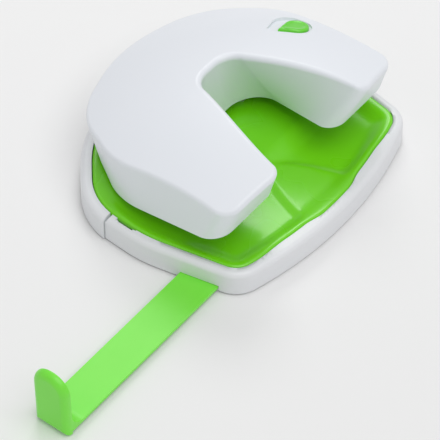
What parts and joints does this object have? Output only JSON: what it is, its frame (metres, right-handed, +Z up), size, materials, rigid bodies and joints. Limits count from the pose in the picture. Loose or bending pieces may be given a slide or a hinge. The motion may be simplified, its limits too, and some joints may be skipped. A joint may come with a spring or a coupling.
{
  "type": "two-hole paper punch",
  "caption": "Hand-worked desk punch: a horseshoe cover hinged on an oval base drives two pins on an 80 mm pitch, with a slide-out paper guide, a chip tray and a lock.",
  "frame": {"origin": "on the table, under the middle of the base's outline", "axes": "+Z up, +X along the row of holes, away from the paper guide; -Y is the front, where the paper goes in"},
  "size_m": [0.2173, 0.1144, 0.0507],
  "materials": {
    "white_shell": "smooth satin moulding",
    "white_base": "fine matt moulding",
    "green_deck": "glossy moulding",
    "green_guide": "slightly translucent moulding",
    "zinc_steel": "zinc plated",
    "ground_steel": "ground",
    "spring_steel": "drawn wire",
    "grey_tray": "clear grey moulding",
    "foot_rubber": "matt"
  },
  "bodies": {
    "base": {"base_skirt": "white_base", "rear_skirt": "white_base", "deck": "green_deck", "punch_frame_left": "zinc_steel", "punch_frame_right": "zinc_steel", "hinge_axle": "ground_steel", "axle_clips": "spring_steel", "frame_screws": "zinc_steel", "base_screws": "zinc_steel", "rubber_feet": "foot_rubber", "lock_catch": "zinc_steel", "return_spring_left": "spring_steel", "return_spring_right": "spring_steel"},
    "cover": {"cover_shell": "white_shell", "lever_plate": "zinc_steel", "lever_screws": "zinc_steel"},
    "lock": {"lock_button": "green_deck", "lock_slider": "green_deck"},
    "guide": {"paper_guide": "green_guide"},
    "tray": {"chip_tray": "grey_tray"},
    "pin_left": {"punch_pin_left": "ground_steel", "pin_clip_left": "spring_steel"},
    "pin_right": {"punch_pin_right": "ground_steel", "pin_clip_right": "spring_steel"}
  },
  "joints": [
    {"name": "cover_hinge", "type": "hinge", "parent": "base", "child": "cover", "pos_m": [0, 0.03, 0.02], "axis": [1, 0, 0], "range_deg": [0, 11], "stiffness_Nm_per_rad": 1.2, "springref_deg": -6.88},
    {"name": "pin_left_slide", "type": "slide", "parent": "base", "child": "pin_left", "axis": [0, 0, -1], "range_m": [0, 0.00596], "deforming": ["return_spring_left"]},
    {"name": "pin_right_slide", "type": "slide", "parent": "base", "child": "pin_right", "axis": [0, 0, -1], "range_m": [0, 0.00596], "deforming": ["return_spring_right"]},
    {"name": "lock_slide", "type": "slide", "parent": "cover", "child": "lock", "axis": [0, 0.9816, -0.1908], "range_m": [0, 0.0045]},
    {"name": "guide_slide", "type": "slide", "parent": "base", "child": "guide", "axis": [1, 0, 0], "range_m": [0, 0.08]},
    {"name": "tray_hinge", "type": "hinge", "parent": "base", "child": "tray", "pos_m": [0, 0.0405, 0.0044], "axis": [1, 0, 0], "range_deg": [0, 75]}
  ],
  "couplings": [
    {"joint": "pin_left_slide", "follows": "cover_hinge", "m_per_rad": 0.031038},
    {"joint": "pin_right_slide", "follows": "cover_hinge", "m_per_rad": 0.031038}
  ]
}
